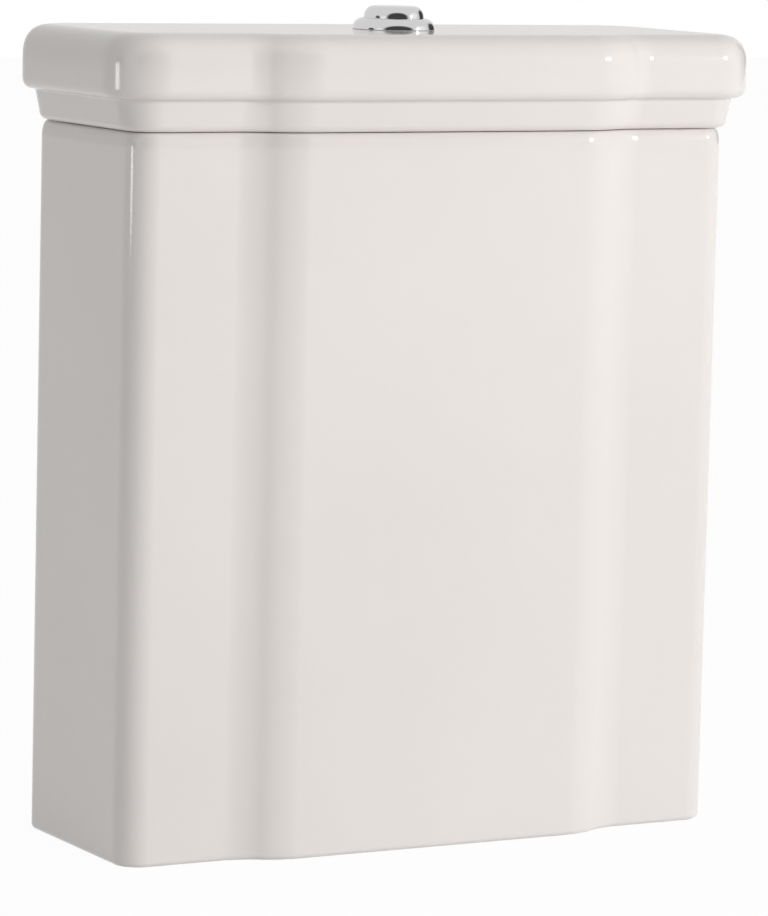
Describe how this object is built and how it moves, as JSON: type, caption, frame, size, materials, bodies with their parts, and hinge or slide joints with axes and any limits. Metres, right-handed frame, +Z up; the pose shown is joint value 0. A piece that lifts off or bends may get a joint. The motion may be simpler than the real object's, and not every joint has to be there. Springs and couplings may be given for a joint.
{
  "type": "toilet cistern",
  "caption": "Close-coupled ceramic toilet cistern with a stepped front panel, moulded lift-off lid, chromed push button, drop-valve flush and float-cup fill valve.",
  "frame": {"origin": "middle of the box round the part, on the plane that the tank's skirt stands on", "axes": "+X to the right seen from the front, +Y towards the wall, +Z up; the front faces -Y"},
  "size_m": [0.4, 0.154, 0.463],
  "materials": {
    "china": "glossy warm white glaze",
    "chrome": "polished",
    "steel": "plain",
    "brass": "plain",
    "white_plastic": "moulded",
    "grey_plastic": "moulded",
    "blue_plastic": "moulded",
    "black_rubber": "matt",
    "red_rubber": "matt silicone",
    "grey_rubber": "matt",
    "foam_rubber": "closed-cell foam"
  },
  "bodies": {
    "tank": {"tank": "china", "valve_base": "white_plastic", "base_washer": "black_rubber", "base_nut": "white_plastic", "coupling_gasket": "foam_rubber", "valve_cage": "white_plastic", "tower_head": "white_plastic", "lever_pin": "steel", "fill_body": "white_plastic", "inlet_washer": "black_rubber", "inlet_nut": "white_plastic", "inlet_strainer": "grey_plastic", "fill_head": "white_plastic", "fill_cap": "grey_plastic", "diaphragm": "black_rubber", "dip_tube": "white_plastic", "float_pin": "steel", "pan_bolts": "brass", "bolt_seals": "black_rubber", "bolt_washers": "steel", "bolt_nuts": "brass"},
    "lid": {"lid": "china", "lid_pads": "grey_rubber", "button_bezel": "chrome", "bezel_nut": "white_plastic"},
    "button": {"push_button": "chrome", "button_spring": "steel", "button_clip": "steel", "push_rod": "grey_plastic", "rod_nut": "grey_plastic"},
    "flush_lever": {"flush_lever": "blue_plastic"},
    "flush_tube": {"overflow_tube": "grey_plastic", "valve_seal": "red_rubber", "seal_clip": "white_plastic", "valve_float": "white_plastic", "lift_yoke": "blue_plastic"},
    "float": {"float_cup": "grey_plastic", "float_rod": "brass"},
    "float_lever": {"float_lever": "blue_plastic"}
  },
  "joints": [
    {"name": "lid_lift", "type": "slide", "parent": "tank", "child": "lid", "axis": [0, 0, 1], "range_m": [0, 0.14]},
    {"name": "button_press", "type": "slide", "parent": "lid", "child": "button", "axis": [0, 0, -1], "range_m": [0, 0.008], "stiffness_N_per_m": 400, "springref_m": -0.012, "deforming": ["button_spring"]},
    {"name": "lever_turn", "type": "hinge", "parent": "tank", "child": "flush_lever", "pos_m": [0.02, 0.007, 0.346], "axis": [0, -1, 0], "range_deg": [0, 24.1]},
    {"name": "tube_lift", "type": "slide", "parent": "tank", "child": "flush_tube", "axis": [0, 0, 1], "range_m": [0, 0.01849]},
    {"name": "float_rise", "type": "slide", "parent": "tank", "child": "float", "axis": [0, 0, 1], "range_m": [0, 0.0097]},
    {"name": "float_lever_turn", "type": "hinge", "parent": "tank", "child": "float_lever", "pos_m": [-0.126, 0.0125, 0.338], "axis": [0, -1, 0], "range_deg": [0, 20]}
  ],
  "couplings": [
    {"joint": "lever_turn", "follows": "button_press", "rad_per_m": 52.5},
    {"joint": "tube_lift", "follows": "button_press", "ratio": 2.31},
    {"joint": "float_lever_turn", "follows": "float_rise", "rad_per_m": 35.9}
  ]
}
